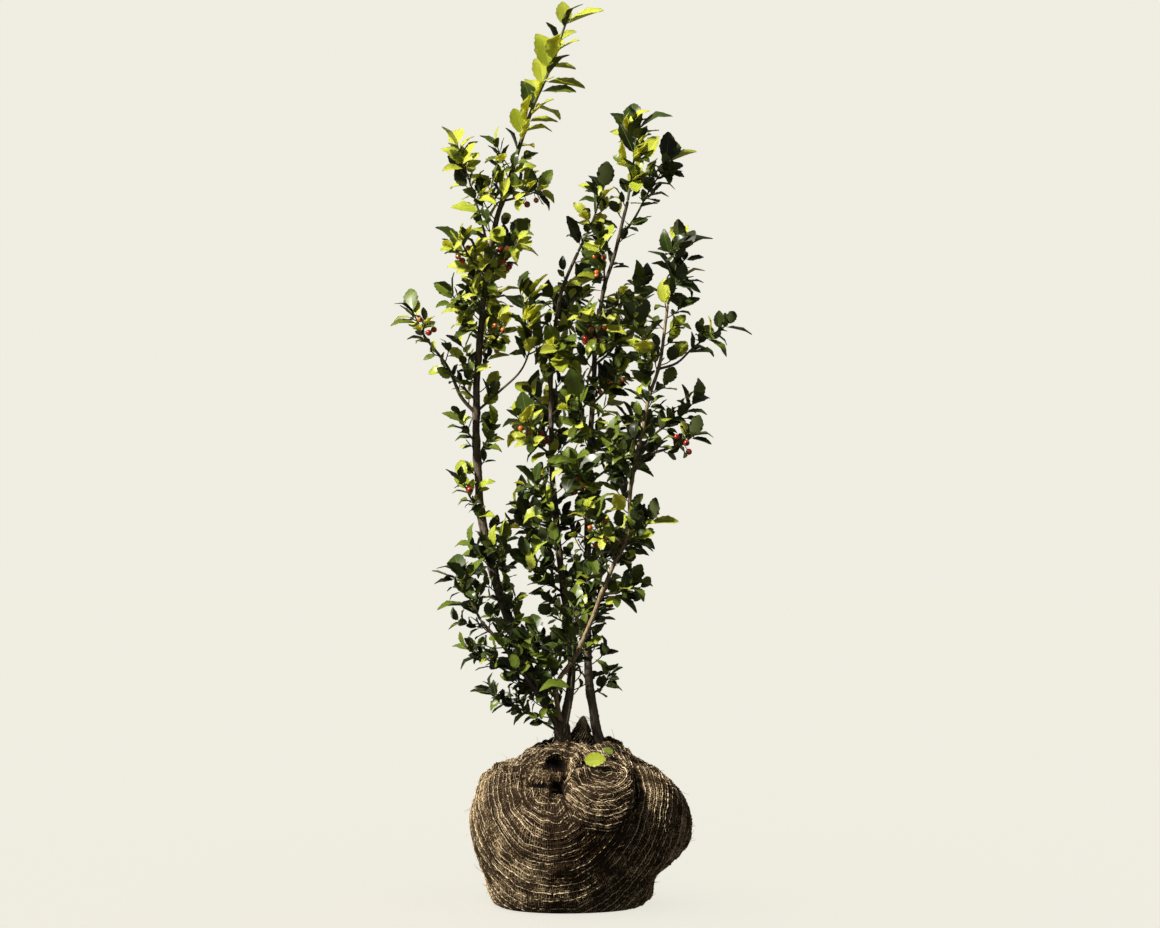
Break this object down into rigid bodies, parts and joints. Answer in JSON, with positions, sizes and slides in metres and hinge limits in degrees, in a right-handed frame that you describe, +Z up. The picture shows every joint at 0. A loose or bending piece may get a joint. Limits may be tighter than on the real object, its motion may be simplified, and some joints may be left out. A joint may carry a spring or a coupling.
{
  "type": "holly shrub on a wrapped root ball",
  "caption": "young evergreen holly shrub, several upright stems with glossy leaves and red berries, lifted with its root ball wrapped in jute cloth",
  "frame": {"origin": "on the flat underside of the root ball, below the stems", "axes": "+Z up along the stems, -Y to the front, +X to the right as seen from the front"},
  "size_m": [0.4754, 0.3333, 1.2877],
  "materials": {
    "jute": "coarse jute net over dark soil",
    "bark": "dull grey-brown bark",
    "green_bark": "smooth light brown bark",
    "leaf_dark": "glossy dark green leaves",
    "leaf_young": "glossy yellow-green leaves"
  },
  "bodies": {
    "root": {"root_ball": "jute", "stool_left": "bark", "leader": "bark", "mid_stem": "bark", "right_stem": "bark", "front_stem": "green_bark", "front_fork": "green_bark", "left_high_bough": "bark", "low_left_bough": "bark", "right_low_bough": "bark", "leader_tip": "leaf_young", "left_spire": "leaf_young", "leader_right": "leaf_young", "leader_left_upper": "leaf_young", "leader_right_upper": "leaf_dark", "leader_back": "leaf_dark", "leader_left_mid": "leaf_dark", "leader_mid_right": "leaf_dark", "left_tuft": "leaf_dark", "inner_tuft": "leaf_young", "leader_low_left": "leaf_dark", "leader_low_right": "leaf_dark", "leader_foot_left": "leaf_dark", "leader_base": "leaf_dark", "low_left_tuft": "leaf_dark", "low_left_tips": "leaf_dark", "left_skirt": "leaf_dark", "low_centre_left": "leaf_dark", "low_front": "leaf_dark", "low_back": "leaf_dark", "stool_sprig": "leaf_dark", "centre_left_low": "leaf_dark", "centre_left": "leaf_dark", "centre_left_high": "leaf_dark", "mid_core": "leaf_dark", "mid_tip": "leaf_young", "mid_back_upper": "leaf_dark", "mid_back": "leaf_dark", "mid_back_low": "leaf_dark", "right_crown": "leaf_young", "right_crown_side": "leaf_dark", "right_upper": "leaf_young", "right_mid_out": "leaf_dark", "right_mid_core": "leaf_dark", "right_core": "leaf_dark", "core_front_upper": "leaf_dark", "core_front": "leaf_dark", "right_back_upper": "leaf_dark", "right_back": "leaf_dark", "right_back_low": "leaf_dark", "front_inner": "leaf_dark", "right_spire": "leaf_young", "right_tip": "leaf_dark", "right_wing_upper": "leaf_dark", "right_wing": "leaf_dark", "front_side": "leaf_dark", "front_low_right": "leaf_young", "front_low_in": "leaf_dark", "front_base_right": "leaf_dark"}
  },
  "joints": []
}
